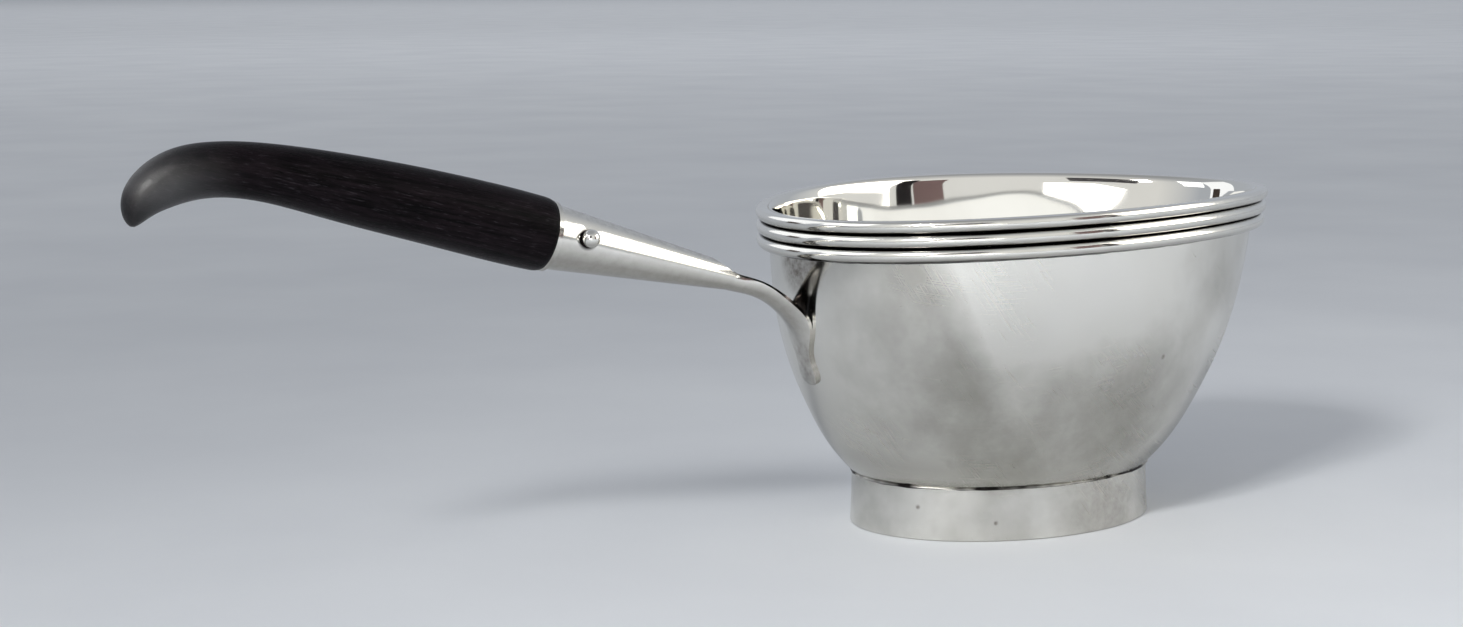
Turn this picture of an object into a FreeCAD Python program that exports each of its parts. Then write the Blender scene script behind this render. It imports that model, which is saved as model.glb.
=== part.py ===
"""Silver sauce boat: a deep oval bowl on an oval foot ring, with three round wires round its rim and
a hooked hardwood handle held in a tapering silver socket.

The origin is the middle of the plane that the foot stands on. +Z is up, the handle runs along -X and
the narrower, pouring end of the bowl points along +X. The XZ plane is the plane of symmetry.
Lengths are in millimetres.
"""

import FreeCAD, Part
import math
import os

Vector = FreeCAD.Vector

# Rim of the bowl: its height at the middle, its rise towards the pouring end and its crown.
RIM_HEIGHT = 68.2
RIM_TILT = 0.025
RIM_CROWN = 0.0005
# Bowl: the wall's thickness, and the oval's shape at the rim.
WALL = 1.2
RIM_RATIO = 0.78
RIM_EGG = 0.12
RIM_POINT = 0.02
RIM_SHIFT = 4.4
BOWL_TOP = 72.0
# The bowl's outer profile: height and half length, from the flat bottom to above the rim.
BOWL_PROFILE = [
    (3.5, 8.0),
    (4.2, 19.0),
    (6.5, 27.5),
    (10.8, 33.3),
    (16.7, 38.9),
    (25.0, 44.1),
    (32.5, 47.75),
    (39.5, 50.35),
    (46.7, 52.2),
    (54.0, 53.35),
    (60.0, 53.95),
    (66.0, 54.4),
    (BOWL_TOP, 54.8),
]
# Rim wires: their spacing, the gap between them, how much of each is filed off to seat on the wall,
# the solder's gap there, and how much is filed off the top of the upper one.
WIRE_DIAMETER = 2.82
WIRE_GAP = 0.02
WIRE_BITE = 0.2
SOLDER_GAP = 0.05
WIRE_FLAT = 0.33
WIRE_NAMES = ["rim_wire_upper", "rim_wire_middle", "rim_wire_lower"]
# Foot ring.
FOOT_HEIGHT = 10.8
FOOT_HALF_LENGTH = 33.45
FOOT_FLARE = 0.45
FOOT_RATIO = 0.755
FOOT_WALL = 1.1
# Handle socket: a cone of sheet whose axis falls towards the bowl.
SOCKET_MOUTH = Vector(-105.2, 0, 64.98)
SOCKET_SLOPE = 14.8
SOCKET_LENGTH = 41.03
SOCKET_MOUTH_RADIUS = 6.4
SOCKET_END_RADIUS = 2.6
SOCKET_WALL = 0.7
SOCKET_LIP = 0.35
SOCKET_LIP_LENGTH = 0.9
SCOOP_LENGTH = 6.5
# Wooden grip: the tenon inside the socket and its clearance.
TENON_LENGTH = 22.0
TENON_CLEARANCE = 0.05
# Pin through socket and tenon, with a ball head on each end.
PIN_RADIUS = 0.8
PIN_FROM_MOUTH = 7.0
PIN_LIFT = 1.3
BALL_RADIUS = 1.75
BALL_STAND_OFF = 1.1
# Leaf that carries the socket down on to the wall of the bowl.
LEAF_THICKNESS = 1.0

# Stations along the grip: x, z, thickness in the XZ plane, and width across it.
GRIP_STATIONS = [
    (-106.4, 65.32, 14.05, 14.05),
    (-108.6, 65.94, 14.2, 14.15),
    (-112.5, 67.04, 14.3, 14.2),
    (-119.5, 69.02, 14.15, 14.1),
    (-130.0, 71.9, 13.6, 13.6),
    (-142.4, 75.1, 12.6, 12.8),
    (-151.5, 77.4, 11.4, 12.0),
    (-160.0, 79.2, 10.3, 11.4),
    (-168.0, 79.9, 9.8, 11.0),
    (-174.0, 79.2, 9.6, 10.6),
    (-178.6, 77.2, 8.5, 9.6),
    (-181.6, 74.4, 6.3, 7.8),
    (-182.6, 71.8, 3.2, 4.6),
    (-182.7, 70.7, 0.8, 1.2),
]
# The leaf starts at the end of the socket, with this half width and height of its edges above its keel.
LEAF_START = (2.40, 3.50)
# Stations along the rest of the keel: x, z, half width and the height of the edges.
LEAF_STATIONS = [
    (-62.0, 50.9, 2.80, 3.00),
    (-58.0, 49.3, 3.30, 2.60),
    (-54.6, 46.9, 4.10, 2.20),
    (-52.0, 44.2, 5.00, 1.90),
    (-50.2, 41.4, 4.40, 0.75),
    (-49.2, 38.6, 3.00, 0.30),
    (-48.1, 34.8, 2.70, 0.25),
    (-46.7, 31.4, 1.30, 0.20),
]


def rim_z(x):
    """Height of the rim above the foot's plane, at a distance x along the bowl."""
    return RIM_HEIGHT + RIM_TILT * x - RIM_CROWN * x * x


def closed_curve(points):
    """A smooth closed wire through the points."""
    curve = Part.BSplineCurve()
    curve.interpolate(Points=points, PeriodicFlag=True)
    return Part.Wire([curve.toShape()])


def rise(z):
    """How far a height lies from the foot, at 0, to the lowest rim wire, at 1."""
    return max(0.0, (z - FOOT_HEIGHT) / (RIM_HEIGHT - 3 * WIRE_DIAMETER - FOOT_HEIGHT))


def oval_point(angle, half_length, z):
    """A point of the bowl's section at height z: a plain oval at the foot and an egg at the rim."""
    t = rise(z)
    ratio = FOOT_RATIO + (RIM_RATIO - FOOT_RATIO) * t
    along = math.cos(angle) + RIM_POINT * t * math.cos(3 * angle)
    across = math.sin(angle) * (1 - RIM_EGG * t * math.cos(angle))
    x = RIM_SHIFT * t + half_length * along
    y = half_length * ratio * across
    return Vector(x, y, z + RIM_TILT * t * x)


def turn(count=32):
    """Evenly spaced angles round a full turn."""
    return [2 * math.pi * step / count for step in range(count)]


def bowl_section(half_length, z):
    """The closed wire of the bowl at height z, tilted more towards the rim."""
    return closed_curve([oval_point(angle, half_length, z) for angle in turn()])


def bowl_solid(profile):
    """A smooth solid through the sections of a profile."""
    return Part.makeLoft([bowl_section(half, z) for z, half in profile], True, False)


def inner_profile():
    """The outer profile moved in by the wall's thickness, square to the wall."""
    inner = []
    last = len(BOWL_PROFILE) - 1
    for i, (z, half) in enumerate(BOWL_PROFILE):
        z_low, half_low = BOWL_PROFILE[max(i - 1, 0)]
        z_high, half_high = BOWL_PROFILE[min(i + 1, last)]
        run = math.hypot(z_high - z_low, half_high - half_low)
        inward = (z_high - z_low) / run
        upward = (half_high - half_low) / run
        inner.append((z + WALL * upward, half - WALL * inward))
    return inner


def above_rim():
    """Everything above the rim, which is a parabola in the XZ plane."""
    reach = 90.0
    top = 110.0
    low_z = rim_z(-reach)
    slope = RIM_TILT + 2 * RIM_CROWN * reach
    rim = Part.BezierCurve()
    rim.setPoles([
        Vector(-reach, 0, low_z),
        Vector(0, 0, low_z + slope * reach),
        Vector(reach, 0, rim_z(reach)),
    ])
    corners = [
        Vector(reach, 0, rim_z(reach)),
        Vector(reach, 0, top),
        Vector(-reach, 0, top),
        Vector(-reach, 0, low_z),
    ]
    sides = [Part.LineSegment(a, b).toShape() for a, b in zip(corners, corners[1:])]
    face = Part.Face(Part.Wire([rim.toShape()] + sides))
    face.translate(Vector(0, -reach, 0))
    return face.extrude(Vector(0, 2 * reach, 0))


def wall_half_length(z):
    """Half length of the bowl's outer profile at height z, between its stations."""
    for (z_low, half_low), (z_high, half_high) in zip(BOWL_PROFILE, BOWL_PROFILE[1:]):
        if z <= z_high:
            return half_low + (half_high - half_low) * (z - z_low) / (z_high - z_low)
    return BOWL_PROFILE[-1][1]


def beside_rim(angle, drop, reach):
    """A point at a distance below the rim and at a distance square to the outside of the wall."""
    z = RIM_HEIGHT - drop
    for attempt in range(6):
        half_length = wall_half_length(z)
        before = oval_point(angle - 0.01, half_length, z)
        after = oval_point(angle + 0.01, half_length, z)
        outward = Vector(after.y - before.y, before.x - after.x, 0).normalize()
        point = oval_point(angle, half_length, z) + outward * reach
        z += rim_z(point.x) - drop - point.z
    return point


def wire_outline(centre, wall_lean, flat_height=None):
    """A round wire's section at +X, flat against the leaning wall and, if asked, flat at a height."""
    radius = (WIRE_DIAMETER - WIRE_GAP) / 2
    inward = math.pi - wall_lean
    half_flat = math.acos((radius - WIRE_BITE) / radius)

    def at(angle):
        return centre + Vector(radius * math.cos(angle), 0, radius * math.sin(angle))

    low, high = at(inward + half_flat), at(inward - half_flat)
    flat_against_wall = Part.LineSegment(high, low).toShape()
    if flat_height is None:
        return Part.Wire([Part.Arc(low, at(0), high).toShape(), flat_against_wall])
    top = math.asin(flat_height / radius)
    outer, inner = at(top), at(math.pi - top)
    inner_middle = at((math.pi - top + inward - half_flat) / 2)
    return Part.Wire([
        Part.Arc(low, at(0), outer).toShape(),
        Part.LineSegment(outer, inner).toShape(),
        Part.Arc(inner, inner_middle, high).toShape(),
        flat_against_wall,
    ])


def rim_wire(index):
    """One of the round wires soldered to the outside of the rim, counted from the top."""
    radius = WIRE_DIAMETER / 2
    crown = radius - WIRE_FLAT
    drop = crown + index * WIRE_DIAMETER
    reach = radius - WIRE_BITE + SOLDER_GAP
    path = closed_curve([beside_rim(angle, drop, reach) for angle in turn()])
    z = RIM_HEIGHT - drop
    wall_lean = math.atan((wall_half_length(z + 1) - wall_half_length(z - 1)) / 2)
    flat_height = crown if index == 0 else None
    sweep = Part.BRepOffsetAPI.MakePipeShell(path)
    sweep.setBiNormalMode(Vector(0, 0, 1))
    sweep.add(wire_outline(beside_rim(0, drop, reach), wall_lean, flat_height))
    sweep.build()
    sweep.makeSolid()
    return sweep.shape()


def foot_section(half_length, inset, z):
    """A level oval of the foot ring."""
    half_width = half_length * FOOT_RATIO - inset
    points = []
    for angle in turn():
        points.append(Vector((half_length - inset) * math.cos(angle), half_width * math.sin(angle), z))
    return closed_curve(points)


def foot_ring(bowl_outside):
    """The oval band that the bowl stands on, a little wider at the bottom."""
    top = FOOT_HEIGHT + 1.5
    flared = FOOT_HALF_LENGTH + FOOT_FLARE
    outside = Part.makeLoft(
        [foot_section(flared, 0, 0), foot_section(FOOT_HALF_LENGTH, 0, top)], True, True)
    inside = Part.makeLoft(
        [foot_section(flared, FOOT_WALL, -1), foot_section(FOOT_HALF_LENGTH, FOOT_WALL, top + 1)],
        True, True)
    return outside.cut(inside).cut(bowl_outside)


def along_socket(shape):
    """Moves a shape made along +X, from the origin, on to the axis of the socket."""
    shape.Placement = FreeCAD.Placement(SOCKET_MOUTH, FreeCAD.Rotation(Vector(0, 1, 0), SOCKET_SLOPE))
    return shape


def turned(profile):
    """The solid that a profile of (distance, radius) points makes when turned about the X axis."""
    points = [Vector(s, 0, r) for s, r in profile]
    face = Part.Face(Part.makePolygon(points + points[:1]))
    return face.revolve(Vector(0, 0, 0), Vector(1, 0, 0), 360)


def socket_radius(s):
    """Outer radius of the socket at a distance s from its mouth."""
    return SOCKET_MOUTH_RADIUS + (SOCKET_END_RADIUS - SOCKET_MOUTH_RADIUS) * s / SOCKET_LENGTH


def socket_outside():
    """The whole cone, as if the socket were solid."""
    profile = [(0, 0), (0, SOCKET_MOUTH_RADIUS), (SOCKET_LENGTH, SOCKET_END_RADIUS), (SOCKET_LENGTH, 0)]
    return along_socket(turned(profile))


def socket(pin):
    """The hollow cone of sheet, with a lip at its mouth and an open scoop over its narrow end."""
    lip = SOCKET_LIP_LENGTH
    shell = turned([
        (0, SOCKET_MOUTH_RADIUS - SOCKET_WALL),
        (0, SOCKET_MOUTH_RADIUS + SOCKET_LIP),
        (lip, SOCKET_MOUTH_RADIUS + SOCKET_LIP),
        (lip, socket_radius(lip)),
        (SOCKET_LENGTH, SOCKET_END_RADIUS),
        (SOCKET_LENGTH, SOCKET_END_RADIUS - SOCKET_WALL),
    ])
    scoop_start = Vector(SOCKET_LENGTH - SCOOP_LENGTH, -10, SOCKET_END_RADIUS + 1.2)
    scoop_end = Vector(SOCKET_LENGTH + 1, -10, 0.5)
    scoop = Part.Face(Part.makePolygon([
        scoop_start, scoop_end, Vector(SOCKET_LENGTH + 1, -10, 10), scoop_start]))
    opened = shell.cut(scoop.extrude(Vector(0, 20, 0)))
    return along_socket(opened).cut(pin)


def crosswise(point, direction, half_thickness, half_width):
    """An oval wire square to a direction in the XZ plane."""
    side = Vector(-direction.z, 0, direction.x)
    points = []
    for angle in turn(16):
        offset = side * (half_thickness * math.cos(angle))
        points.append(point + offset + Vector(0, half_width * math.sin(angle), 0))
    return closed_curve(points)


def directions(points):
    """The direction of a path at each of its points."""
    last = len(points) - 1
    found = []
    for i in range(len(points)):
        step = points[min(i + 1, last)] - points[max(i - 1, 0)]
        found.append(step.normalize())
    return found


def wooden_handle(pin):
    """The hooked grip, with a rounded shoulder against the socket and a tenon inside it."""
    axis = Vector(-math.cos(math.radians(SOCKET_SLOPE)), 0, math.sin(math.radians(SOCKET_SLOPE)))
    shoulder = crosswise(SOCKET_MOUTH, axis, 6.6, 6.6)
    edge = crosswise(SOCKET_MOUTH + axis * 0.45, axis, 6.9, 6.9)
    points = [Vector(x, 0, z) for x, z, thickness, width in GRIP_STATIONS]
    paths = directions(points)
    paths[0] = axis
    sections = [shoulder, edge]
    for point, path, (x, z, thickness, width) in zip(points, paths, GRIP_STATIONS):
        sections.append(crosswise(point, path, thickness / 2, width / 2))
    grip = Part.makeLoft(sections, True, False)
    gap = SOCKET_WALL + TENON_CLEARANCE
    tenon = turned([
        (-2, 0),
        (-2, socket_radius(0) - gap),
        (0, socket_radius(0) - gap),
        (TENON_LENGTH, socket_radius(TENON_LENGTH) - gap),
        (TENON_LENGTH, 0),
    ])
    return grip.fuse(along_socket(tenon)).removeSplitter().cut(pin)


def pin_centre():
    """Where the pin crosses the plane of symmetry."""
    slope = math.radians(SOCKET_SLOPE)
    along = Vector(math.cos(slope), 0, -math.sin(slope)) * PIN_FROM_MOUTH
    return SOCKET_MOUTH + along + Vector(0, 0, PIN_LIFT)


def ball_offset():
    """How far each ball's centre stands from the plane of symmetry."""
    radius = socket_radius(PIN_FROM_MOUTH)
    return math.sqrt(radius * radius - PIN_LIFT * PIN_LIFT) + BALL_STAND_OFF


def handle_pin():
    """The rod through the socket and the tenon, ending inside the two ball heads."""
    half = ball_offset() + 0.3
    return Part.makeCylinder(PIN_RADIUS, 2 * half, pin_centre() - Vector(0, half, 0), Vector(0, 1, 0))


def pin_ball(pin):
    """The ball head on the -Y side, bored for the pin and seated on the socket."""
    ball = Part.makeSphere(BALL_RADIUS)
    ball.translate(pin_centre() - Vector(0, ball_offset(), 0))
    return ball.cut(pin).cut(socket_outside())


def leaf_section(keel, direction, half_width, edge_height):
    """The closed outline of the leaf, a shallow channel with its hollow side up or to the bowl."""
    up = Vector(-direction.z, 0, direction.x)

    def arc(lift, half, height):
        ends = [keel + up * (lift + height) + Vector(0, side * half, 0) for side in (-1, 1)]
        return Part.Arc(ends[0], keel + up * lift, ends[1]).toShape(), ends

    outer, outer_ends = arc(0, half_width, edge_height)
    steepness = min(1.0, edge_height / half_width)
    inner, inner_ends = arc(
        LEAF_THICKNESS,
        half_width - LEAF_THICKNESS * 0.7 * steepness,
        edge_height - LEAF_THICKNESS * 0.6 * steepness)
    near = Part.LineSegment(outer_ends[0], inner_ends[0]).toShape()
    far = Part.LineSegment(outer_ends[1], inner_ends[1]).toShape()
    return Part.Wire([outer, far, inner, near])


def handle_leaf(bowl_outside):
    """The channel that leaves the socket, turns down and spreads on to the wall of the bowl."""
    slope = math.radians(SOCKET_SLOPE)
    axis = Vector(math.cos(slope), 0, -math.sin(slope))
    below = Vector(-math.sin(slope), 0, -math.cos(slope)) * SOCKET_END_RADIUS
    points = [SOCKET_MOUTH + axis * SOCKET_LENGTH + below]
    points += [Vector(x, 0, z) for x, z, half, edge in LEAF_STATIONS]
    shapes = [LEAF_START] + [(half, edge) for x, z, half, edge in LEAF_STATIONS]
    paths = directions(points)
    paths[0] = axis
    sections = []
    for point, path, (half, edge) in zip(points, paths, shapes):
        sections.append(leaf_section(point, path, half, edge))
    return Part.makeLoft(sections, True, False).cut(bowl_outside)


def build():
    """Every piece of the sauce boat by name."""
    bowl_outside = bowl_solid(BOWL_PROFILE)
    pin = handle_pin()
    near_ball = pin_ball(pin)
    pieces = {
        "bowl_shell": bowl_outside.cut(bowl_solid(inner_profile())).cut(above_rim()),
        "foot_ring": foot_ring(bowl_outside),
        "handle_socket": socket(pin),
        "handle_leaf": handle_leaf(bowl_outside),
        "wooden_handle": wooden_handle(pin),
        "handle_pin": pin,
        "pin_ball_near": near_ball,
        "pin_ball_far": near_ball.mirror(Vector(0, 0, 0), Vector(0, 1, 0)),
    }
    for index, name in enumerate(WIRE_NAMES):
        pieces[name] = rim_wire(index)
    return pieces


os.makedirs("parts", exist_ok=True)
for name, shape in build().items():
    shape.exportStep("parts/" + name + ".step")
    print(name, shape.isValid(), len(shape.Solids), round(shape.Volume, 1))
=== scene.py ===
"""Looks of the silver sauce boat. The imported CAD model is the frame, and every piece here rides on it.

The frame is the CAD's own: the origin is under the middle of the foot, +Z is up, the handle runs
along -X and the pouring end of the bowl points along +X. Blender works in metres. The shapes of the
bowl, wires, foot and solder are worked out in millimetres, as they are in the CAD source, and are
scaled when a mesh is made. Materials, lights and the camera are placed in metres.
"""

import bisect
import bpy
import math
from mathutils import Matrix, Vector, noise


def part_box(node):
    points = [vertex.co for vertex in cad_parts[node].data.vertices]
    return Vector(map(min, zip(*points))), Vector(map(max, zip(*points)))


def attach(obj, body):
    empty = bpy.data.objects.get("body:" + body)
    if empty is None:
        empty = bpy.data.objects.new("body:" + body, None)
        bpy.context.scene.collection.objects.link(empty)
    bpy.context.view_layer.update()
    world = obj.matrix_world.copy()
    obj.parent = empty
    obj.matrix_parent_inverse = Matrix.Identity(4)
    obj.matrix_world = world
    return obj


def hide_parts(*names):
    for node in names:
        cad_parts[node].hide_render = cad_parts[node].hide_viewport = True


MM = 0.001

# Rim, bowl, wires and foot, as in the CAD source. The profile is (height, half length) up the wall.
RIM_HEIGHT = 68.2
RIM_TILT = 0.025
RIM_CROWN = 0.0005
WALL = 1.2
RIM_RATIO = 0.78
RIM_EGG = 0.12
RIM_POINT = 0.02
RIM_SHIFT = 4.4
BOWL_PROFILE = [
    (3.5, 8.0),
    (4.2, 19.0),
    (6.5, 27.5),
    (10.8, 33.3),
    (16.7, 38.9),
    (25.0, 44.1),
    (32.5, 47.75),
    (39.5, 50.35),
    (46.7, 52.2),
    (54.0, 53.35),
    (60.0, 53.95),
    (66.0, 54.4),
    (72.0, 54.8),
]
WIRE_DIAMETER = 2.82
WIRE_GAP = 0.02
WIRE_SINK = 0.15
WIRE_FLAT = 0.33
WIRE_CROWN = WIRE_DIAMETER / 2 - WIRE_FLAT
FOOT_HEIGHT = 10.8
FOOT_HALF_LENGTH = 33.45
FOOT_FLARE = 0.45
FOOT_FLARE_END = 1.5
FOOT_RATIO = 0.755
FOOT_WALL = 1.1

# The bowl's lip: how far across the wall its rounding starts, and how deep it reaches inside.
LIP_START = 0.06
LIP_DEPTH = 2.2

# How far apart two seeds read the noise along Y, for each step along X, and the height they read it at.
SEED_STEP = 2.7
SEED_HEIGHT = 5.1

# Unevenness, as (height, size across, seed) for each layer of soft noise. The hammering of the bowl
# grows from nothing at a height. The foot's dents grow from a part of their depth at the floor, and the
# inset keeps its bumps inside the CAD's ring.
HAMMERING = ((0.045, 21, 3), (0.02, 9, 8))
HAMMERING_START = 12
HAMMERING_RISE = 15
FOOT_DENTS = ((0.16, 13, 31), (0.07, 5, 33))
FOOT_DENTS_AT_FLOOR = 0.3
FOOT_DENTS_RISE = 3
FOOT_INSET = 0.12

# The wires' wear, as a part of their radius, its size across and its seed, and where along the upper
# wire's crown, as a part of its height, the flat begins.
WIRE_WEAR = 0.012
WIRE_WEAR_SIZE = 6
WIRE_WEAR_SEED = 11
CROWN_START = 0.8

# Tarnish and painted shade in the grooves between the wires: its width as a part of the wire's radius,
# how much that wanders and over what distance, how much it grows towards the handle, and how much, at
# which angle and how narrowly it widens into a painted dark reflection.
GROOVE_WIDTH = 0.15
GROOVE_WANDER = 0.05
GROOVE_WANDER_SIZE = 14
GROOVE_SEED = 20
GROOVE_AT_HANDLE = 0.04
GROOVE_REFLECTION = 0.15
GROOVE_REFLECTION_ANGLE = math.radians(228)
GROOVE_REFLECTION_SHARPNESS = 8
GROOVE_FADE = 0.06

# The foot's softened edges, how far it reaches up past the bowl's wall, and the brown along its top.
FOOT_EDGE = 0.3
FOOT_TOP = FOOT_HEIGHT + 0.35
FOOT_BROWN_DEPTH = 1.6
FOOT_BROWN_FADE = 2.2
FOOT_BROWN_PATCHES = ((0.5, 4, 37),)

# Solder beads: radius, how far out the middle lies, how lumpy, and seed. The foot's bead also wanders
# up and down. The rim's bead lies near the bottom of the lowest wire, at a part of its radius below its
# middle. Then the sizes of a bead's lumps, and how dark it is, with (amount, size across) of the patches
# that vary that.
RIM_BEAD = (0.3, 0.35, 0.25, 41)
FOOT_BEAD = (0.24, 0.12, 0.5, 53)
FOOT_BEAD_LIFT = ((0.12, 7, 51),)
RIM_BEAD_TUCK = 0.97
RIM_BEAD_DROP = WIRE_CROWN + 2 * WIRE_DIAMETER + WIRE_DIAMETER / 2 * RIM_BEAD_TUCK
LUMP_SIZES = (3.0, 9.0)
BEAD_DARK = 0.85
BEAD_PATCHES = ((0.9, 11.0), (0.5, 2.5))

# How finely the meshes are divided, and how often a search halves its range.
AROUND = 360
WALL_ROWS = 80
LIP_ROWS = 8
BAND_ROWS = 15
EDGE_ROWS = 4
WIRE_POINTS = 32
BEAD_POINTS = 10
HALVINGS = 28


# ---------------------------------------------------------------- shape of the bowl


def smooth_curve(at, values):
    """A curve through values at growing distances whose slope and bend never jump."""
    last = len(at) - 1
    bend = [0.0] * (last + 1)
    ratio = [0.0] * (last + 1)
    for i in range(1, last):
        before = at[i] - at[i - 1]
        after = at[i + 1] - at[i]
        pull = 6 * ((values[i + 1] - values[i]) / after - (values[i] - values[i - 1]) / before)
        weight = 2 * (before + after) - before * ratio[i - 1]
        ratio[i] = after / weight
        bend[i] = (pull - before * bend[i - 1]) / weight
    for i in range(last - 1, 0, -1):
        bend[i] -= ratio[i] * bend[i + 1]

    def curve(s):
        i = max(0, min(last - 1, bisect.bisect_right(at, s) - 1))
        step = at[i + 1] - at[i]
        a = (at[i + 1] - s) / step
        b = 1 - a
        rest = ((a**3 - a) * bend[i] + (b**3 - b) * bend[i + 1]) * step * step / 6
        return a * values[i] + b * values[i + 1] + rest

    return curve


class Profile:
    """The half length and height of one side of the bowl's wall, by the distance along it."""

    def __init__(self, stations):
        at = [0.0]
        for (z0, half0), (z1, half1) in zip(stations, stations[1:]):
            at.append(at[-1] + math.hypot(z1 - z0, half1 - half0))
        self.length = at[-1]
        self.z = smooth_curve(at, [z for z, half in stations])
        self.half = smooth_curve(at, [half for z, half in stations])

    def point(self, angle, s):
        """The wall's point at an angle round the bowl and a distance up the profile."""
        return oval_point(angle, self.half(s), self.z(s))

    def below_rim(self, angle, drop):
        """The distance up the profile where the wall is this far below the rim."""
        low, high = 0.0, self.length
        for halving in range(HALVINGS):
            middle = (low + high) / 2
            point = self.point(angle, middle)
            if point.z < rim_z(point.x) - drop:
                low = middle
            else:
                high = middle
        return low


def rim_z(x):
    """Height of the rim at a distance x along the bowl."""
    return RIM_HEIGHT + RIM_TILT * x - RIM_CROWN * x * x


def oval_point(angle, half_length, z):
    """A point of the bowl's section at height z: a plain oval at the foot and an egg at the rim."""
    t = max(0.0, (z - FOOT_HEIGHT) / (RIM_HEIGHT - 3 * WIRE_DIAMETER - FOOT_HEIGHT))
    ratio = FOOT_RATIO + (RIM_RATIO - FOOT_RATIO) * t
    along = math.cos(angle) + RIM_POINT * t * math.cos(3 * angle)
    across = math.sin(angle) * (1 - RIM_EGG * t * math.cos(angle))
    x = RIM_SHIFT * t + half_length * along
    return Vector((x, half_length * ratio * across, z + RIM_TILT * t * x))


def inner_stations():
    """The outer profile moved in by the wall's thickness, square to the wall."""
    inner = []
    last = len(BOWL_PROFILE) - 1
    for i, (z, half) in enumerate(BOWL_PROFILE):
        z_low, half_low = BOWL_PROFILE[max(i - 1, 0)]
        z_high, half_high = BOWL_PROFILE[min(i + 1, last)]
        run = math.hypot(z_high - z_low, half_high - half_low)
        inner.append((z + WALL * (half_high - half_low) / run, half - WALL * (z_high - z_low) / run))
    return inner


OUTSIDE = Profile(BOWL_PROFILE)
INSIDE = Profile(inner_stations())


def turn(count=AROUND):
    """Evenly spaced angles round a full turn."""
    return [2 * math.pi * step / count for step in range(count)]


def outward(angle, s):
    """The level direction square to the outside of the bowl's wall."""
    nudge = 0.01
    before = OUTSIDE.point(angle - nudge, s)
    after = OUTSIDE.point(angle + nudge, s)
    return Vector((after.y - before.y, before.x - after.x, 0)).normalized()


def soft_noise(point, size, seed):
    """Smooth noise between about -1 and 1 with features of a size in millimetres."""
    return noise.noise(point / size + Vector((seed, SEED_STEP * seed, SEED_HEIGHT)))


def layered_noise(point, layers):
    """The sum of layers of soft noise, each a (height, size, seed)."""
    return sum(height * soft_noise(point, size, seed) for height, size, seed in layers)


def clamped(value):
    """A value kept between 0 and 1."""
    return min(1.0, max(0.0, value))


def quarter_turn(steps):
    """The sines and cosines of evenly spaced angles from 0 to a quarter turn."""
    angles = [math.pi / 2 * i / steps for i in range(steps + 1)]
    return [(math.sin(angle), math.cos(angle)) for angle in angles]


# ---------------------------------------------------------------- meshes


def link(name, data):
    """An object in the scene that holds a mesh, a light or a camera."""
    made = bpy.data.objects.new(name, data)
    bpy.context.scene.collection.objects.link(made)
    return made


def add_mesh(name, rows, mark, closed_rows=False, capped=False):
    """A smooth mesh through rows of points that each go once round, in millimetres.

    The mark is one number per point, in the same rows, for the material to read.
    """
    count = len(rows[0])
    verts = [point * MM for row in rows for point in row]
    faces = []
    row_pairs = [(i, i + 1) for i in range(len(rows) - 1)]
    if closed_rows:
        row_pairs.append((len(rows) - 1, 0))
    for lower, upper in row_pairs:
        for i in range(count):
            j = (i + 1) % count
            faces.append((lower * count + i, lower * count + j, upper * count + j, upper * count + i))
    if capped:
        for row, turned in ((0, True), (len(rows) - 1, False)):
            middle = sum(rows[row], Vector()) / count * MM
            verts.append(middle)
            for i in range(count):
                edge = (row * count + i, row * count + (i + 1) % count)
                faces.append((edge[1], edge[0], len(verts) - 1) if turned else (*edge, len(verts) - 1))
    mesh = bpy.data.meshes.new(name)
    mesh.from_pydata(verts, [], faces)
    mesh.validate()
    mesh.shade_smooth()
    values = [value for row in mark for value in row]
    if capped:
        values += [mark[0][0], mark[-1][0]]
    mesh.attributes.new("mark", "FLOAT", "POINT").data.foreach_set("value", values)
    return link(name, mesh)


def planished(point):
    """How far the hand-raised wall wanders in or out at a point."""
    return clamped((point.z - HAMMERING_START) / HAMMERING_RISE) * layered_noise(point, HAMMERING)


def bowl_column(angle):
    """The bowl's points at one angle: up the outside, over the rounded lip and down the inside."""
    top_out = OUTSIDE.below_rim(angle, 0)
    column = [OUTSIDE.point(angle, top_out * i / WALL_ROWS) for i in range(WALL_ROWS + 1)]
    lip_foot = INSIDE.below_rim(angle, LIP_DEPTH)
    corner = INSIDE.point(angle, INSIDE.below_rim(angle, 0))
    below = INSIDE.point(angle, lip_foot)
    flat_end = column[-1].lerp(corner, LIP_START)
    for sine, cosine in quarter_turn(LIP_ROWS)[:-1]:
        column.append(corner + (flat_end - corner) * (1 - sine) + (below - corner) * (1 - cosine))
    for i in range(WALL_ROWS + 1):
        column.append(INSIDE.point(angle, lip_foot * (1 - i / WALL_ROWS)))
    side = outward(angle, top_out)
    return [point + side * planished(point) for point in column]


def make_bowl():
    """The raised bowl with its rounded lip. Its lip and inside are marked."""
    columns = [bowl_column(angle) for angle in turn()]
    rows = [list(row) for row in zip(*columns)]
    mark = [[float(i > WALL_ROWS)] * AROUND for i in range(len(rows))]
    return add_mesh("bowl_body", rows, mark, capped=True)


def flattened(rise):
    """The height of a point of the upper wire's section once its crown is worn flat."""
    start = WIRE_CROWN * CROWN_START
    room = WIRE_CROWN - start
    return rise if rise < start else start + room * math.tanh((rise - start) / room)


def groove_mark(index, turned, angle, centre):
    """How dark a wire is at a turn of its section, 0 to 1: tarnish and painted shade where it meets its
    neighbours, wider where a dark reflection is painted.
    """
    height = math.sin(turned)
    if index == 0 and height > 0:
        return 0.0
    # Painted dark reflection: the groove widens round one angle on the near side.
    dark_reflection = max(0.0, math.cos(angle - GROOVE_REFLECTION_ANGLE)) ** GROOVE_REFLECTION_SHARPNESS
    width = GROOVE_WIDTH + GROOVE_WANDER * soft_noise(centre, GROOVE_WANDER_SIZE, GROOVE_SEED + index)
    width += GROOVE_REFLECTION * dark_reflection - GROOVE_AT_HANDLE * math.cos(angle)
    return clamped((abs(height) - (1 - width)) / GROOVE_FADE)


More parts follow.
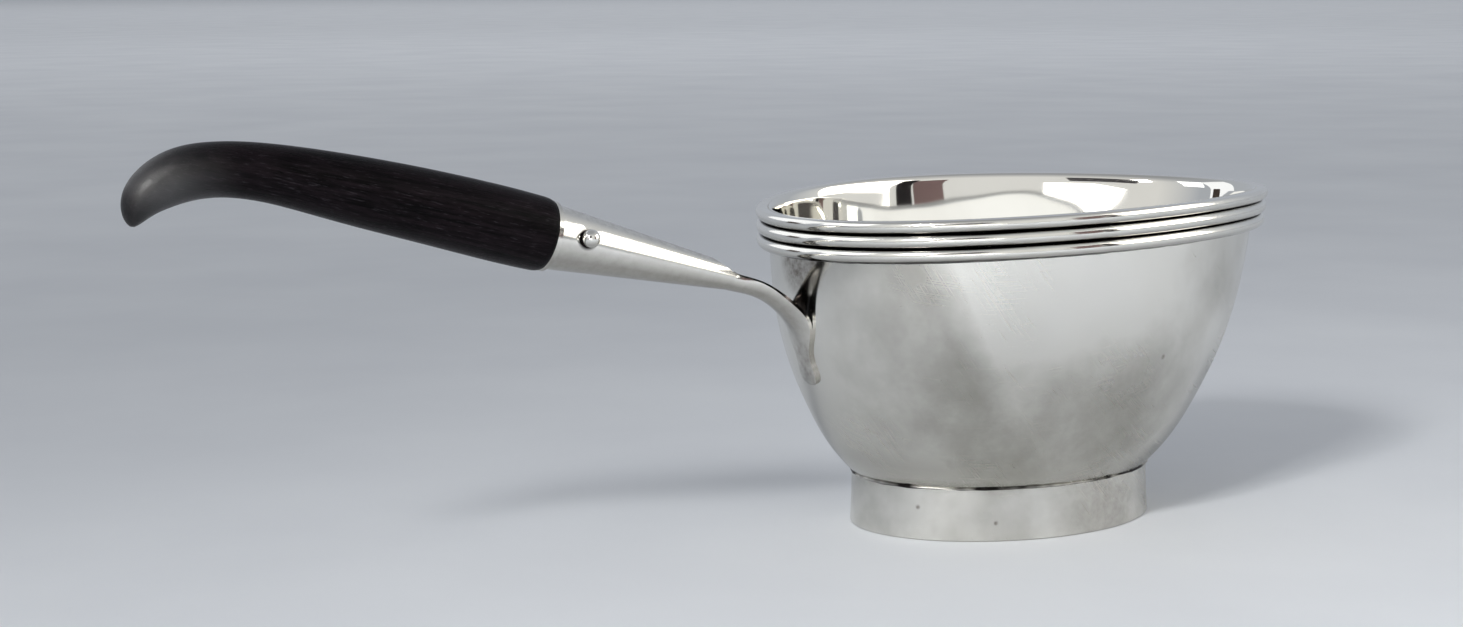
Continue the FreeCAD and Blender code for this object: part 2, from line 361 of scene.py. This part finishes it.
def make_wire(name, index):
    """One of the three round wires, counted from the top, with its grooves marked."""
    radius = (WIRE_DIAMETER - WIRE_GAP) / 2
    drop = WIRE_CROWN + index * WIRE_DIAMETER
    rings, marks = [], []
    for angle in turn():
        s = OUTSIDE.below_rim(angle, drop)
        side = outward(angle, s)
        centre = OUTSIDE.point(angle, s) + side * (WIRE_DIAMETER / 2 - WIRE_SINK)
        worn = radius * (1 + WIRE_WEAR * soft_noise(centre, WIRE_WEAR_SIZE, WIRE_WEAR_SEED + index))
        ring, mark = [], []
        for turned in turn(WIRE_POINTS):
            rise = worn * math.sin(turned)
            if index == 0:
                rise = flattened(rise)
            ring.append(centre + side * (worn * math.cos(turned)) + Vector((0, 0, rise)))
            mark.append(groove_mark(index, turned, angle, centre))
        rings.append(ring)
        marks.append(mark)
    return add_mesh(name, rings, marks, closed_rows=True)


def bead_along(name, path, radius, wander, seed):
    """A closed, uneven bead of solder along a path of (point, outward) pairs, marked where dark."""
    lumps = [(wander, size, seed + i) for i, size in enumerate(LUMP_SIZES)]
    patches = [(amount, size, seed + 2 + i) for i, (amount, size) in enumerate(BEAD_PATCHES)]
    rings, marks = [], []
    for point, side in path:
        thick = radius * (1 + layered_noise(point, lumps))
        rings.append([
            point + side * (thick * math.cos(turned)) + Vector((0, 0, thick * math.sin(turned)))
            for turned in turn(BEAD_POINTS)])
        marks.append([clamped(BEAD_DARK + layered_noise(point, patches))] * BEAD_POINTS)
    return add_mesh(name, rings, marks, closed_rows=True)


def make_rim_solder():
    """The thin solder line under the lowest wire."""
    radius, out, wander, seed = RIM_BEAD
    path = []
    for angle in turn(2 * AROUND):
        s = OUTSIDE.below_rim(angle, RIM_BEAD_DROP)
        side = outward(angle, s)
        path.append((OUTSIDE.point(angle, s) + side * out, side))
    return bead_along("rim_solder", path, radius, wander, seed)


def foot_point(angle, outset, z):
    """A point of the foot ring, moved out from its outside, with its slight dents."""
    half = FOOT_HALF_LENGTH + FOOT_FLARE * (1 - z / (FOOT_HEIGHT + FOOT_FLARE_END))
    side = Vector((half * FOOT_RATIO * math.cos(angle), half * math.sin(angle), 0)).normalized()
    point = Vector((half * math.cos(angle), half * FOOT_RATIO * math.sin(angle), z))
    dent = layered_noise(point, FOOT_DENTS) * min(1.0, z / FOOT_DENTS_RISE + FOOT_DENTS_AT_FLOOR)
    return point + side * (outset + dent - FOOT_INSET), side


def foot_section():
    """The foot ring's section as (outset, height): up its outside and down its inside."""
    low_edge = [
        (FOOT_EDGE * (1 - sine), FOOT_EDGE * (1 - cosine))
        for sine, cosine in quarter_turn(EDGE_ROWS)]
    climb = (FOOT_TOP - FOOT_EDGE) / BAND_ROWS
    section = [(-inset, z) for inset, z in low_edge]
    section += [(0.0, FOOT_EDGE + climb * i) for i in range(1, BAND_ROWS + 1)]
    section += [(-FOOT_WALL, FOOT_TOP - climb * i) for i in range(BAND_ROWS + 1)]
    section += [(inset - FOOT_WALL, z) for inset, z in reversed(low_edge[:-1])]
    return section


def make_foot():
    """The foot ring: a band with softened edges that has picked up small dents, marked along its top."""
    rows, marks = [], []
    for outset, z in foot_section():
        row, mark = [], []
        for angle in turn():
            point = foot_point(angle, outset, z)[0]
            row.append(point)
            brown = (z - FOOT_TOP + FOOT_BROWN_DEPTH) / FOOT_BROWN_FADE
            mark.append(clamped(brown + layered_noise(point, FOOT_BROWN_PATCHES)))
        rows.append(row)
        marks.append(mark)
    return add_mesh("foot_band", rows, marks, closed_rows=True)


def make_foot_solder():
    """The uneven, darkened solder line between the bowl and its foot."""
    radius, out, wander, seed = FOOT_BEAD
    path = []
    for angle in turn(2 * AROUND):
        point, side = foot_point(angle, 0.0, FOOT_HEIGHT)
        lift = Vector((0, 0, layered_noise(point, FOOT_BEAD_LIFT)))
        path.append((point + side * out + lift, side))
    return bead_along("foot_solder", path, radius, wander, seed)


# ---------------------------------------------------------------- materials


class Nodes:
    """A short way to build a node tree, for a material or for the world."""

    def __init__(self, tree):
        self.tree = tree
        self.coordinates = self.add("ShaderNodeTexCoord").outputs
        self.place = self.coordinates["Object"]

    def add(self, kind, inputs=(), **settings):
        """A node with its settings, and its inputs set to values or linked to sockets."""
        made = self.tree.nodes.new(kind)
        for key, value in settings.items():
            setattr(made, key, value)
        for key, value in dict(inputs).items():
            self.set(made.inputs[key], value)
        return made

    def set(self, socket, value):
        """Links a socket, or gives it a plain value."""
        if isinstance(value, bpy.types.NodeSocket):
            self.tree.links.new(value, socket)
        else:
            socket.default_value = value

    def principled(self, **inputs):
        """Sets or links the main shader's inputs, by name with _ for a space."""
        shader = self.tree.nodes["Principled BSDF"]
        for key, value in inputs.items():
            self.set(shader.inputs[key.replace("_", " ")], value)

    def split(self, vector):
        """The three parts of a vector."""
        outputs = self.add("ShaderNodeSeparateXYZ", {0: vector}).outputs
        return outputs["X"], outputs["Y"], outputs["Z"]

    def stretched(self, scale, rotation=(0, 0, 0)):
        """Object coordinates, turned and then stretched."""
        turned = self.add("ShaderNodeMapping", {"Vector": self.place, "Rotation": rotation})
        return self.add("ShaderNodeMapping", {"Vector": turned.outputs[0], "Scale": scale}).outputs[0]

    def noise(self, scale, detail, place=None, roughness=0.5):
        """Noise whose features are about 1/scale metres across."""
        inputs = {"Vector": place or self.place, "Scale": scale, "Detail": detail, "Roughness": roughness}
        return self.add("ShaderNodeTexNoise", inputs).outputs["Fac"]

    def range(self, value, low, high, to_low=0.0, to_high=1.0):
        """Maps low..high to to_low..to_high, and stops at the ends."""
        names = ("Value", "From Min", "From Max", "To Min", "To Max")
        inputs = dict(zip(names, (value, low, high, to_low, to_high)))
        return self.add("ShaderNodeMapRange", inputs).outputs[0]

    def math(self, operation, a, b, clamp=False):
        """A Math node."""
        return self.add("ShaderNodeMath", {0: a, 1: b}, operation=operation, use_clamp=clamp).outputs[0]

    def plus(self, a, b):
        """The sum of two values."""
        return self.math("ADD", a, b)

    def minus(self, a, b):
        """One value less another."""
        return self.math("SUBTRACT", a, b)

    def times(self, a, b):
        """The product of two values."""
        return self.math("MULTIPLY", a, b)

    def power(self, a, b):
        """One value to the power of another."""
        return self.math("POWER", a, b)

    def larger(self, a, b, clamp=False):
        """The larger of two values."""
        return self.math("MAXIMUM", a, b, clamp)

    def upward(self):
        """How far the surface faces up, -1 to 1."""
        return self.split(self.add("ShaderNodeNewGeometry").outputs["Normal"])[2]

    def mix(self, amount, a, b):
        """One colour over another."""
        made = self.add("ShaderNodeMix", data_type="RGBA")
        self.set(made.inputs[0], amount)
        self.set(made.inputs[6], a)
        self.set(made.inputs[7], b)
        return made.outputs[2]

    def bump(self, height, strength, distance, normal=None):
        """A bump from a height, on top of another bump if there is one."""
        inputs = {"Height": height, "Strength": strength, "Distance": distance}
        if normal is not None:
            inputs["Normal"] = normal
        return self.add("ShaderNodeBump", inputs).outputs[0]

    def near(self, point, radius, soft):
        """1 within a radius of a point, fading to 0 over a further distance. Metres."""
        away = self.add("ShaderNodeVectorMath", {0: self.place, 1: point}, operation="DISTANCE")
        return self.range(away.outputs["Value"], radius, radius + soft, 1.0, 0.0)

    def spot(self, place, radius, soft, amount):
        """A soft spot of some strength."""
        return self.times(self.near(place, radius, soft), amount)

    def mark(self):
        """The piece's own mark, 0 to 1: where it is dark, from tarnish and, in the wires' grooves,
        painted shade, or the inside of the bowl.
        """
        return self.add("ShaderNodeAttribute", attribute_name="mark").outputs["Fac"]


def new_material(name):
    """A material, and the short way to build its nodes."""
    material = bpy.data.materials.new(name)
    material.use_nodes = True
    return material, Nodes(material.node_tree)


# Silver's colours: clean, cloudy, a grey for dulling and painted shade, brown and black. Then its fine
# scratches, which run two ways, each as (scale along X, Y and Z, rotation, lowest noise that shows),
# and the strength and depth of their bump.
SILVER = (0.955, 0.94, 0.89, 1)
SILVER_CLOUDY = (0.80, 0.78, 0.72, 1)
SILVER_DULL_AND_SHADE = (0.28, 0.27, 0.24, 1)
BROWN_TARNISH_AND_SHADE = (0.16, 0.13, 0.105, 1)
BLACK_TARNISH_AND_SHADE = (0.014, 0.012, 0.012, 1)
SCRATCHES = (
    ((5200, 90, 110), (0.3, 0.5, 0.7), 0.55),
    ((120, 90, 6000), (-0.5, 0.25, -0.4), 0.58),
)
SCRATCH_TOP = 0.75
SCRATCH_ROUGHNESS = 0.05
SCRATCH_BUMP = (0.05, 0.00002)
POLISHED_ROUGHNESS = 0.04
CLOUD_AMOUNT = 0.35
# How far silver that faces down is greyed, as painted shade.
UNDERSIDE_SHADE = 0.72

# The parts of the wall by the handle's leaf, as (place, radius, soft edge, strength): where it is
# polished, and where a brown reflection of the leaf is painted above it.
LEAF_POLISH = ((-0.050, -0.004, 0.048), 0.009, 0.016, 0.65)
LEAF_REFLECTION = ((-0.0525, -0.002, 0.0575), 0.005, 0.004, 0.9)

# The slanting edge of the sweep of painted dark reflection on the bowl's near side. Its distance along
# the bowl is start + slope * fall + bend * fall squared, where fall is the depth below its top. The
# painted darkening is strong just left of that edge, which is this soft, and weak from a distance on.
SWEEP_TOP = 0.062
SWEEP_START = -0.037
SWEEP_SLOPE = 0.234
SWEEP_BEND = 7.0
SWEEP_SOFTNESS = 0.003
SWEEP_STRONG = 0.80
SWEEP_WEAK = 0.14
SWEEP_WEAK_FROM = 0.018

# Clouds of painted shade and dark reflection on the bowl: place, radius, soft edge and strength. Each
# whole unit of strength leaves only a part of the silver unshaded. Then its pits, and the foot's brown
# side and specks.
BOWL_SHADE_CLOUDS = [
    ((0.0078, -0.0328, 0.0243), 0.001, 0.026, 1.25),
    ((-0.031, -0.022, 0.025), 0.0, 0.034, 0.62),
    ((-0.012, -0.033, 0.030), 0.0, 0.020, 0.30),
    ((0.030, -0.033, 0.050), 0.0, 0.024, 0.55),
    ((0.048, -0.020, 0.044), 0.0, 0.022, 0.35),
    ((-0.014, 0.032, 0.030), 0.0, 0.026, 0.60),
    ((0.044, 0.012, 0.034), 0.0, 0.024, 0.55),
]
UNSHADED_PART = 0.25
BOWL_PITS = [(0.0136, -0.0364, 0.0371), (-0.020, 0.036, 0.041), (0.043, -0.019, 0.030)]
FOOT_SIDE = ((0.0105, -0.0242, 0.0055), 0.004, 0.012, 0.35)
FOOT_SPECKS = [(-0.029, -0.0125, 0.0067), (-0.0166, -0.0221, 0.0038), (0.020, 0.021, 0.006)]
PIT_RADIUS = 0.0003
SPECK_RADIUS = 0.0002
SPOT_FADE = 0.0004

# A painted black shadow round the ball heads, as (radius, soft edge), and painted black shade along
# the upper edge of the channel and leaf, on faces turned up. That edge starts at a place along X, in
# metres. Its height there is in millimetres, and it falls by an amount times each power of the distance
# past the start, in millimetres. The painted shade comes in along the first millimetres and fades out
# below the edge. Then the leaf's brown tip.
BALL_SHADOW = (0.0022, 0.0006)
LEAF_EDGE_START = -0.062
LEAF_EDGE_HEIGHT = 53.9
LEAF_EDGE_FALLS = ((1, 0.35), (2, 0.035), (4, 0.00015))
LEAF_EDGE_COMES_IN = (-4.0, -1.0)
LEAF_EDGE_FADE = (0.3, 0.6)
LEAF_EDGE_WIDENING = 0.07
LEAF_TIP = ((-0.048, -0.001, 0.036), 0.003, 0.005, 0.6)

# Ebony's colours: dark and light grain, broad cast, flecks of painted sheen, and pores. The grain
# follows the grip's slope, and it and the pores change this often per metre along, across and up. Then
# the hook's sheen: its middle, from the grip's left end, its middle plane and its top, and its radius
# and soft edge.
GRAIN_DARK = (0.0006, 0.0005, 0.0008, 1)
GRAIN_LIGHT = (0.0105, 0.007, 0.009, 1)
GRAIN_CAST = (0.017, 0.012, 0.015, 1)
PAINTED_SHEEN_FLECK = (0.055, 0.048, 0.056, 1)
GRAIN_PORE = (0.0004, 0.0004, 0.0005, 1)
GRAIN_SLOPE = (0, -0.25, 0)
GRAIN_STRETCH = (60, 1300, 1300)
PORE_STRETCH = (420, 3600, 3600)
HOOK_SHEEN = (0.006, -0.005, -0.007)
HOOK_SHEEN_SIZE = (0.002, 0.014)

PAPER_GREY = (0.66, 0.685, 0.725, 1)
PAPER_PALE = (0.72, 0.745, 0.78, 1)


def silver(name, rough, haze, patches=None, brown=None, dark=None, polish=None):
    """Used silver: a soft polish with cloudy wear, fine scratches and painted shade on its undersides.

    The last four are functions that make masks: grey dulling and painted shade, brown tarnish with
    painted brown shade and a painted brown reflection, black tarnish with painted black shade, and where
    the surface is polished like a mirror.
    """
    material, n = new_material(name)
    clouds = n.range(n.noise(scale=45, detail=4), 0.35, 0.7)
    colour = n.mix(n.times(clouds, CLOUD_AMOUNT), SILVER, SILVER_CLOUDY)
    # Painted shade: the silver turns grey as it faces down.
    shade_and_dulling = n.range(n.upward(), -0.6, 0.0, UNDERSIDE_SHADE, 0.0)
    if patches is not None:
        shade_and_dulling = n.larger(shade_and_dulling, patches(n), clamp=True)
    colour = n.mix(shade_and_dulling, colour, SILVER_DULL_AND_SHADE)
    # Brown and black: tarnish, and on some pieces painted shade and a painted reflection.
    if brown is not None:
        mottle = n.range(n.noise(scale=700, detail=5, roughness=0.65), 0.35, 0.7, 0.35, 1.0)
        colour = n.mix(n.times(brown(n), mottle), colour, BROWN_TARNISH_AND_SHADE)
    if dark is not None:
        colour = n.mix(dark(n), colour, BLACK_TARNISH_AND_SHADE)
    scratches = n.plus(*(
        n.range(n.noise(1.0, 2, n.stretched(scale, rotation)), lowest, SCRATCH_TOP)
        for scale, rotation, lowest in SCRATCHES))
    hazy = n.range(clouds, 0, 1, rough, rough + haze)
    roughness = n.plus(hazy, n.times(scratches, SCRATCH_ROUGHNESS))
    if polish is not None:
        unpolished = n.minus(1.0, polish(n))
        roughness = n.plus(n.times(roughness, unpolished), POLISHED_ROUGHNESS)
        scratches = n.times(scratches, unpolished)
    n.principled(Base_Color=colour, Metallic=1.0, Roughness=roughness)
    n.principled(Normal=n.bump(scratches, *SCRATCH_BUMP))
    return material


def bowl_polish(n):
    """The mirror-like parts of the bowl: its inside, and the wall by the handle's leaf."""
    return n.larger(n.mark(), n.spot(*LEAF_POLISH))


def bowl_reflection_and_pits(n):
    """A painted brown reflection on the wall above the handle's leaf, and brown tarnish in a few pits."""
    total = n.spot(*LEAF_REFLECTION)
    for place in BOWL_PITS:
        total = n.larger(total, n.near(place, PIT_RADIUS, SPOT_FADE))
    return total


def bowl_painted_shade(n):
    """Painted shade and dark reflections on the bowl's outside: left of a slanting edge, low down, and in
    soft clouds.
    """
    x, y, z = n.split(n.place)
    fall = n.minus(SWEEP_TOP, z)
    line = n.plus(n.times(fall, SWEEP_SLOPE), n.times(n.power(fall, 2.0), SWEEP_BEND))
    left = n.minus(n.plus(line, SWEEP_START), x)
    sweep_shade = n.range(left, SWEEP_SOFTNESS, SWEEP_WEAK_FROM, SWEEP_STRONG, SWEEP_WEAK)
    sweep = n.times(n.range(left, -SWEEP_SOFTNESS, SWEEP_SOFTNESS), sweep_shade)
    near_side = n.range(y, -0.012, 0.0, 1.0, 0.3)
    low_down = n.range(z, 0.014, 0.040, 0.30, 0.0)
    total = n.plus(n.times(sweep, near_side), low_down)
    for shade_cloud in BOWL_SHADE_CLOUDS:
        total = n.plus(total, n.spot(*shade_cloud))
    mottle = n.range(n.noise(scale=90, detail=6, roughness=0.62), 0.3, 0.7, 0.6, 1.2)
    outside = n.minus(1.0, n.mark())
    total = n.times(n.times(total, mottle), outside)
    return n.minus(1.0, n.power(UNSHADED_PART, total))


def foot_patches(n):
    """The foot's all-over dulling, which comes and goes."""
    return n.range(n.noise(scale=90, detail=4), 0.3, 0.7, 0.22, 0.62)


def foot_brown(n):
    """Brown tarnish along the foot's top edge, at one side and in a few specks."""
    total = n.larger(n.times(n.mark(), 0.5), n.spot(*FOOT_SIDE))
    for place in FOOT_SPECKS:
        total = n.larger(total, n.near(place, SPECK_RADIUS, SPOT_FADE))
    return total


def socket_shade_and_brown(n):
    """Brown on the socket and leaf: underneath partly tarnish and partly painted shade, along the top
    painted shade, both set by which way they face; and brown on the leaf's tip.
    """
    # Painted shade: brown by which way the surface faces, below and on top.
    below = n.range(n.upward(), -0.9, 0.35, 0.36, 0.05)
    above = n.range(n.upward(), 0.62, 0.9, 0.0, 0.5)
    return n.larger(n.larger(below, above), n.spot(*LEAF_TIP))


def handle_painted_shade(n):
    """A painted black shadow round the ball heads, and painted black shade along the channel's and leaf's
    upper edges where they face up.
    """
    rings = []
    # Painted shadow round each ball head.
    for node in ("pin_ball_near", "pin_ball_far"):
        low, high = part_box(node)
        rings.append(n.near((low + high) / 2, *BALL_SHADOW))
    # Painted shade along the channel's and leaf's upper edge, on faces turned up.
    x, _, z = n.split(n.place)
    along = n.times(n.minus(x, LEAF_EDGE_START), 1 / MM)
    edge = LEAF_EDGE_HEIGHT
    for power, amount in LEAF_EDGE_FALLS:
        edge = n.minus(edge, n.times(n.power(along, power), amount))
    depth = n.minus(edge, n.times(z, 1 / MM))
    band = n.range(n.minus(depth, n.times(along, LEAF_EDGE_WIDENING)), *LEAF_EDGE_FADE, 1.0, 0.0)
    past_start = n.range(along, *LEAF_EDGE_COMES_IN)
    faces_up = n.range(n.upward(), 0.1, 0.35)
    return n.larger(n.larger(*rings), n.times(n.times(band, past_start), faces_up))


def ebony(name):
    """Near-black hardwood with a purple-brown cast, fine lengthwise grain and a hand-polished hook."""
    material, n = new_material(name)
    grain = n.noise(1.0, 6, n.stretched(GRAIN_STRETCH, GRAIN_SLOPE), roughness=0.6)
    pores = n.noise(1.0, 4, n.stretched(PORE_STRETCH, GRAIN_SLOPE), roughness=0.6)
    colour = n.mix(n.range(grain, 0.38, 0.68), GRAIN_DARK, GRAIN_LIGHT)
    colour = n.mix(n.range(n.noise(scale=42, detail=4), 0.5, 0.72, 0, 0.5), colour, GRAIN_CAST)
    # Painted sheen: pale flecks along the pores stand in for glints on the grain.
    colour = n.mix(n.times(n.range(pores, 0.58, 0.72), 0.4), colour, PAINTED_SHEEN_FLECK)
    pits = n.range(pores, 0.46, 0.32)
    colour = n.mix(pits, colour, GRAIN_PORE)
    low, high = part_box("wooden_handle")
    middle = Vector((low.x, 0, high.z)) + Vector(HOOK_SHEEN)
    hook = n.power(n.near(middle, *HOOK_SHEEN_SIZE), 2.0)
    roughness = n.plus(n.range(grain, 0.3, 0.7, 0.30, 0.42), n.times(hook, 0.12))
    normal = n.bump(grain, 0.2, 0.00015, n.bump(pits, 0.25, 0.0001))
    n.principled(Base_Color=colour, Roughness=roughness, Normal=normal, IOR=1.5)
    n.principled(Specular_IOR_Level=n.range(hook, 0.0, 1.0, 0.06, 1.0))
    return material


def paper(name):
    """Pale, matt background paper with a faint mottle."""
    material, n = new_material(name)
    colour = n.mix(n.range(n.noise(scale=9, detail=5), 0.3, 0.7), PAPER_GREY, PAPER_PALE)
    n.principled(Base_Color=colour, Roughness=0.8, Normal=n.bump(n.noise(scale=14, detail=4), 0.1, 0.002))
    return material


def card_colour(name, colour):
    """The plain matt colour of a card."""
    material, n = new_material(name)
    n.principled(Base_Color=(*colour, 1), Roughness=0.9)
    return material


def paint(piece, material):
    """Gives every slot of a piece one material, without touching a CAD node's mesh."""
    if not piece.material_slots:
        piece.data.materials.append(material)
    for slot in piece.material_slots:
        slot.material = material


# ---------------------------------------------------------------- studio

FLOOR_SIDE = 40.0
BOWL_MIDDLE = (0, 0, 0.05)
RIM_MIDDLE = (0, 0, 0.06)
WORLD_BACK = (0.40, 0.425, 0.47, 1)
WORLD_FRONT = (0.70, 0.70, 0.69, 1)
WORLD_CEILING = (0.30, 0.31, 0.33, 1)

# The camera: its place, where it looks, its lens, and how near and far it sees.
CAMERA_PLACE = (-0.2949, -0.4130, 0.1121)
CAMERA_AZIMUTH = -29.12
CAMERA_PITCH = 7.818
CAMERA_ROLL = -0.311
CAMERA_LENS = 59.68
SENSOR_WIDTH = 36.0
NEAREST = 0.01
FARTHEST = 60


def rectangle(name, width, height):
    """A flat, level rectangle round the origin, in metres."""
    w, h = width / 2, height / 2
    mesh = bpy.data.meshes.new(name)
    mesh.from_pydata([(-w, -h, 0), (w, -h, 0), (w, h, 0), (-w, h, 0)], [], [(0, 1, 2, 3)])
    return link(name, mesh)


def make_floor():
    """The pale floor, which runs on to the horizon."""
    floor = rectangle("floor", FLOOR_SIDE, FLOOR_SIDE)
    paint(floor, paper("paper"))


def around(azimuth, elevation, distance):
    """A place round the object. Azimuth 0 is towards -Y and 90 towards +X."""
    azimuth, elevation = math.radians(azimuth), math.radians(elevation)
    level = math.cos(elevation) * distance
    return math.sin(azimuth) * level, -math.cos(azimuth) * level, math.sin(elevation) * distance


def aimed(thing, place, target):
    """Puts a light or card somewhere, facing a target."""
    thing.location = place
    thing.rotation_euler = (Vector(target) - Vector(place)).to_track_quat("-Z", "Y").to_euler()


def softbox(name, place, target, width, height, watts, colour=(1, 1, 1), spread=180):
    """A rectangular soft light."""
    lamp = bpy.data.lights.new(name, "AREA")
    lamp.shape = "RECTANGLE"
    lamp.size, lamp.size_y = width, height
    lamp.energy = watts
    lamp.color = colour
    lamp.spread = math.radians(spread)
    thing = link(name, lamp)
    aimed(thing, place, target)
    return thing


def flag(name, place, width, height, colour):
    """A card that faces the rim and is seen only in reflections."""
    card = rectangle(name, width, height)
    aimed(card, place, RIM_MIDDLE)
    card.visible_camera = False
    card.visible_diffuse = False
    card.visible_shadow = False
    paint(card, card_colour(name, colour))


def make_world():
    """Soft surroundings: grey paper behind, a brighter room in front, and a darker ceiling."""
    world = bpy.data.worlds.new("studio")
    bpy.context.scene.world = world
    world.use_nodes = True
    n = Nodes(world.node_tree)
    _, y, z = n.split(n.coordinates["Generated"])
    colour = n.mix(n.range(y, 0.3, -0.35), WORLD_BACK, WORLD_FRONT)
    colour = n.mix(n.range(z, 0.55, 0.95), colour, WORLD_CEILING)
    n.set(n.tree.nodes["Background"].inputs[0], colour)


def make_lights():
    """A key light behind the camera's left shoulder, lamps over the far paper, and windows.

    The silver doesn't see the lamps over the paper, and the windows light nothing matt.
    """
    softbox("key", (-1.12, -0.72, 0.86), (-0.17, -0.42, 0.0), 0.28, 0.28, 2.3, (1.0, 0.99, 0.97), 48)
    overhead = [
        softbox("far", (1.6, 3.0, 1.6), (1.6, 3.0, 0.0), 3.0, 2.4, 6.5),
        softbox("farther", (4.4, 7.9, 5.0), (4.4, 7.9, 0.0), 9.0, 9.0, 95.0),
    ]
    for lamp in overhead:
        lamp.visible_glossy = False
    windows = [
        softbox("window_right", around(55, 25, 1.2), BOWL_MIDDLE, 1.05, 0.75, 4.5, (1.0, 0.975, 0.92)),
        softbox("window_left", around(-102, 33, 1.2), BOWL_MIDDLE, 0.5, 0.5, 1.2, (0.97, 0.99, 1.0)),
        softbox("window_back", around(-146, 30, 1.2), BOWL_MIDDLE, 0.95, 0.8, 1.5),
        softbox("window_low", around(-37, 6.5, 1.0), RIM_MIDDLE, 0.52, 0.13, 0.5),
    ]
    for window in windows:
        window.visible_diffuse = False


def make_flags():
    """What the polished silver sees in the room besides windows: dark things and a warm one."""
    flag("flag_person", around(-42, 30, 0.8), 0.34, 0.30, (0.10, 0.09, 0.09))
    flag("flag_right", around(26, 20, 0.65), 0.075, 0.42, (0.012, 0.008, 0.008))
    flag("flag_warm", around(15.5, 18, 0.7), 0.15, 0.38, (0.26, 0.165, 0.15))
    flag("flag_left", around(-135, 12, 0.8), 0.16, 0.2, (0.08, 0.055, 0.045))


def make_camera():
    """The camera, low and to the handle's side of the bowl, looking along the floor."""
    data = bpy.data.cameras.new("camera")
    data.lens = CAMERA_LENS
    data.sensor_width = SENSOR_WIDTH
    data.clip_start = NEAREST
    data.clip_end = FARTHEST
    camera = link("camera", data)
    azimuth, pitch, roll = map(math.radians, (CAMERA_AZIMUTH, CAMERA_PITCH, CAMERA_ROLL))
    ahead = Vector((
        -math.sin(azimuth) * math.cos(pitch),
        math.cos(azimuth) * math.cos(pitch),
        -math.sin(pitch)))
    level = Vector((math.cos(azimuth), math.sin(azimuth), 0))
    over = level.cross(ahead)
    across = level * math.cos(roll) + over * math.sin(roll)
    upright = over * math.cos(roll) - level * math.sin(roll)
    pose = Matrix((across, upright, -ahead)).transposed().to_4x4()
    pose.translation = CAMERA_PLACE
    camera.matrix_world = pose
    bpy.context.scene.camera = camera


# ---------------------------------------------------------------- putting it together


def add_pieces():
    """The new pieces, each with the CAD node it stands for, its slot and its finish."""
    plan = [
        (make_bowl(), "bowl_shell", "bowl_silver", silver(
            "bowl_silver", 0.13, 0.12, patches=bowl_painted_shade, brown=bowl_reflection_and_pits, polish=bowl_polish)),
        (make_foot(), "foot_ring", "foot_silver", silver(
            "foot_silver", 0.16, 0.14, patches=foot_patches, brown=foot_brown)),
        (make_foot_solder(), None, "foot_silver", silver("solder", 0.3, 0.2, dark=Nodes.mark)),
        (make_rim_solder(), None, "rim_silver", silver("rim_solder", 0.3, 0.2, dark=Nodes.mark)),
    ]
    # The wires' mark darkens their grooves with tarnish and painted shade.
    rim = silver("rim_silver", 0.09, 0.08, dark=Nodes.mark)
    for index, word in enumerate(("upper", "middle", "lower")):
        plan.append((make_wire("rim_bead_" + word, index), "rim_wire_" + word, "rim_silver", rim))
    for piece, node, slot, material in plan:
        paint(piece, material)
        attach(piece, "root")
        if node:
            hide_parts(node)


def finish_nodes(nodes):
    """Better materials on the CAD nodes that stay."""
    handle = silver("handle_silver", 0.09, 0.1, brown=socket_shade_and_brown, dark=handle_painted_shade)
    pin = silver("pin_silver", 0.05, 0.05)
    for name in ("handle_socket", "handle_leaf"):
        paint(nodes[name], handle)
    for name in ("handle_pin", "pin_ball_near", "pin_ball_far"):
        paint(nodes[name], pin)
    paint(nodes["wooden_handle"], ebony("grip_wood"))


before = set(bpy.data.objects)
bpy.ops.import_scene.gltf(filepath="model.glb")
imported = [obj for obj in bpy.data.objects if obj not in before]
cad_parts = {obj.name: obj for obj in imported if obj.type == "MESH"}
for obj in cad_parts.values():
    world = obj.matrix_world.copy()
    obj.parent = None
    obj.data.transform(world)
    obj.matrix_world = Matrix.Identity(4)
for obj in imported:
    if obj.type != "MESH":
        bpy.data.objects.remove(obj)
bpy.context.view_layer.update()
bpy.context.scene.view_settings.view_transform = "Standard"
make_camera()
make_world()
make_lights()
make_flags()
make_floor()
add_pieces()
finish_nodes(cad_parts)
